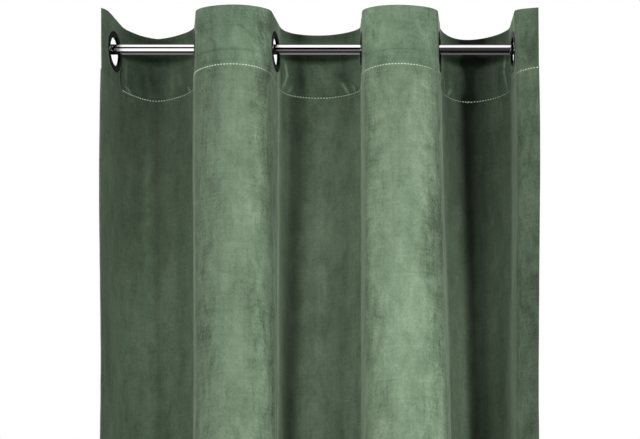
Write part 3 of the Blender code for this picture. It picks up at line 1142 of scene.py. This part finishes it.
def stitch_row(bm, z, side, first, last):
    """Adds a row of stitches on the panel's face (side 1) or back (-1) and gives the painted shade and
    highlight tones of its points.
    """
    station = stations(STITCH_STEPS)
    line = fold_line(z, STITCH_STEPS)
    run = along(line)
    start = np.interp(first, station, run)
    end = np.interp(last, station, run)
    normal = outward(line)
    lifted = line + normal * (side * PANEL_THICK / 2 - DRAWN_DEPTH)
    marks = [row[0] for row in THREAD_PAINTED_SHADE]
    values = [row[1] for row in THREAD_PAINTED_SHADE]
    tones = []
    for number in range(int((end - start) / STITCH_PITCH)):
        middle = start + (number + 0.5) * STITCH_PITCH
        tone = np.interp(np.interp(middle, run, station), marks, values)
        tones += [tone] * THREAD_SIDES * len(stitch_shape())
        wander = STITCH_WANDER * noise.noise(Vector((middle * 300, z, 1.7)))
        tilt = STITCH_TILT * noise.noise(Vector((middle * 420, z, 4.2)))
        rings = []
        for step, radius, lift in stitch_shape():
            at = middle + step
            x = np.interp(at, run, lifted[:, 0])
            depth = np.interp(at, run, lifted[:, 1])
            nx = np.interp(at, run, normal[:, 0]) * side
            nd = np.interp(at, run, normal[:, 1]) * side
            ring = []
            for k in range(THREAD_SIDES):
                angle = 2 * math.pi * k / THREAD_SIDES
                rise = lift + radius * math.cos(angle)
                up = radius * math.sin(angle) + wander + tilt * step
                ring.append(bm.verts.new((x + nx * rise, -(depth + nd * rise), z + up)))
            rings.append(ring)
        for here, there in zip(rings, rings[1:]):
            for k in range(THREAD_SIDES):
                after = (k + 1) % THREAD_SIDES
                bm.faces.new((here[k], here[after], there[after], there[k]))
        bm.faces.new(rings[0][::-1])
        bm.faces.new(rings[-1])
    return tones


def make_stitches(name, rows, material):
    bm = bmesh.new()
    tones = []
    for row in rows:
        tones += stitch_row(bm, *row)
    bmesh.ops.recalc_face_normals(bm, faces=bm.faces)
    mesh = mesh_from(bm, name)
    mesh.attributes.new("painted_shade_and_nap", "FLOAT", "POINT").data.foreach_set("value", tones)
    mesh.shade_smooth()
    mesh.materials.append(material)
    obj = add_object(name, mesh)
    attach(obj, "root")
    return obj


def area_light(name, place, target, size, watts):
    data = bpy.data.lights.new(name, "AREA")
    data.shape = "RECTANGLE"
    data.size, data.size_y = size
    data.energy = watts
    light = add_object(name, data)
    light.location = place
    light.rotation_euler = (Vector(target) - Vector(place)).to_track_quat("-Z", "Y").to_euler()
    light.visible_camera = False
    light.visible_glossy = False


def between(tree, value, low, high):
    """1 where the value lies between the two ends, else 0."""
    above = math_node(tree, "GREATER_THAN", value, low)
    below = math_node(tree, "LESS_THAN", value, high)
    return math_node(tree, "MULTIPLY", above, below)


def band_ramp(tree, share, bands, tint):
    """Bands of light over the share of a whole turn."""
    stops = [((degrees + 180) / 360, tuple(value * part for part in tint)) for degrees, value in bands]
    return ramp(tree, share, stops)


def make_world():
    """What the metal mirrors, the even light on all else, and the white that the picture has behind it."""
    world = bpy.data.worlds.new("studio")
    bpy.context.scene.world = world
    world.use_nodes = True
    tree = world.node_tree
    tree.nodes.clear()
    place = made(tree, "ShaderNodeTexCoord")
    split = made(tree, "ShaderNodeSeparateXYZ")
    tree.links.new(place.outputs["Generated"], split.inputs["Vector"])
    x, y, z = split.outputs
    forward = math_node(tree, "MULTIPLY", y, -1.0)
    turn = math_node(tree, "ARCTAN2", z, forward)
    share = math_node(tree, "MULTIPLY_ADD", turn, 0.5 / math.pi, 0.5)
    left = band_ramp(tree, share, LEFT_BANDS, LEFT_TINT)
    right = band_ramp(tree, share, RIGHT_BANDS, FRONT_TINT)
    bands = band_ramp(tree, share, FRONT_BANDS, FRONT_TINT)
    for sector, colours in ((LEFT_SECTOR, left), (RIGHT_SECTOR, right)):
        mix = made(tree, "ShaderNodeMix", data_type="RGBA")
        tree.links.new(between(tree, x, *sector), mix.inputs["Factor"])
        tree.links.new(bands, mix.inputs["A"])
        tree.links.new(colours, mix.inputs["B"])
        bands = mix.outputs["Result"]
    shade = 1.0
    for sector in DARK_SECTORS:
        shade = math_node(tree, "SUBTRACT", shade, between(tree, x, *sector))
    lit = made(tree, "ShaderNodeVectorMath", operation="SCALE")
    tree.links.new(bands, lit.inputs[0])
    tree.links.new(shade, lit.inputs["Scale"])
    seen = made(tree, "ShaderNodeBackground")
    seen.inputs["Color"].default_value = (1, 1, 1, 1)
    mirrored = made(tree, "ShaderNodeBackground")
    tree.links.new(lit.outputs[0], mirrored.inputs["Color"])
    ambient = made(tree, "ShaderNodeBackground")
    ambient.inputs["Color"].default_value = (0.97, 1.0, 0.98, 1)
    ambient.inputs["Strength"].default_value = AMBIENT
    rays = made(tree, "ShaderNodeLightPath")
    first = made(tree, "ShaderNodeMixShader")
    second = made(tree, "ShaderNodeMixShader")
    output = made(tree, "ShaderNodeOutputWorld")
    tree.links.new(rays.outputs["Is Glossy Ray"], first.inputs["Fac"])
    tree.links.new(ambient.outputs[0], first.inputs[1])
    tree.links.new(mirrored.outputs[0], first.inputs[2])
    tree.links.new(rays.outputs["Is Camera Ray"], second.inputs["Fac"])
    tree.links.new(first.outputs[0], second.inputs[1])
    tree.links.new(seen.outputs[0], second.inputs[2])
    tree.links.new(second.outputs[0], output.inputs["Surface"])


def make_floor():
    bm = bmesh.new()
    bmesh.ops.create_circle(bm, cap_ends=True, segments=96, radius=FLOOR_RADIUS)
    mesh = mesh_from(bm, "floor")
    floor = add_object("floor", mesh)
    floor.location = (0.0, 0.0, FLOOR)
    material, tree, shader = new_material("floor")
    cloud = noise_value(tree, 3.0, (1, 1, 1), 2.0, 0.5)
    colour = ramp(tree, cloud, ((0.3, (0.78, 0.78, 0.78)), (0.7, (0.82, 0.82, 0.82))))
    tree.links.new(colour, shader.inputs["Base Color"])
    tree.links.new(colour, shader.inputs["Emission Color"])
    shader.inputs["Emission Strength"].default_value = 0.45
    shader.inputs["Roughness"].default_value = 0.9
    mesh.materials.append(material)
    floor.visible_glossy = False
    floor.visible_diffuse = False


def make_camera():
    data = bpy.data.cameras.new("camera")
    data.lens = LENS_MM
    data.sensor_width = 36.0
    data.clip_end = 60.0
    camera = add_object("camera", data)
    camera.location = EYE
    camera.rotation_euler = (math.pi / 2 + EYE_PITCH, 0.0, 0.0)
    bpy.context.scene.camera = camera


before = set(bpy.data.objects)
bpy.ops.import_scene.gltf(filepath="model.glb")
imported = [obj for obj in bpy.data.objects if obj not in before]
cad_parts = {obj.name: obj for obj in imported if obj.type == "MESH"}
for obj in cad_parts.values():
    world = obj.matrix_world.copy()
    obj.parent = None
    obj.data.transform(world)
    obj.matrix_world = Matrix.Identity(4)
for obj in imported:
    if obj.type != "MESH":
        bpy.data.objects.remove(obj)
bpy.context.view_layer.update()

face_cloth = velvet("velvet", VELVET_SHADES, PANEL_CRUSH)
heading_face = velvet("heading_velvet", HEADING_SHADES, HEADING_CRUSH)
back_cloth = reverse_cloth()

heading = make_heading(heading_face, back_cloth)
panel = make_panel(face_cloth, back_cloth)
# The rod shows only the studio's stripes, as in the photograph, and not the cloth right behind it.
heading.visible_glossy = False
panel.visible_glossy = False
make_eyelets()
make_rod()


pale_thread = thread()
seam_rows = (
    (SEAM_STITCHES, 1, SEWN_FROM, RIGHT_EDGE),
    (SEAM_STITCHES, -1, FIRST_SEWN, LAST_SEWN),
)
seam_stitches = make_stitches("seam_stitches", seam_rows, pale_thread)
hem_rows = (
    (HEM_STITCHES, 1, FIRST_SEWN, LAST_SEWN),
    (HEM_STITCHES, -1, FIRST_SEWN, LAST_SEWN),
)
hem_stitches = make_stitches("hem_stitches", hem_rows, pale_thread)

for row in LIGHTS:
    area_light(*row)
make_world()
make_floor()
make_camera()
bpy.context.scene.view_settings.view_transform = "Standard"
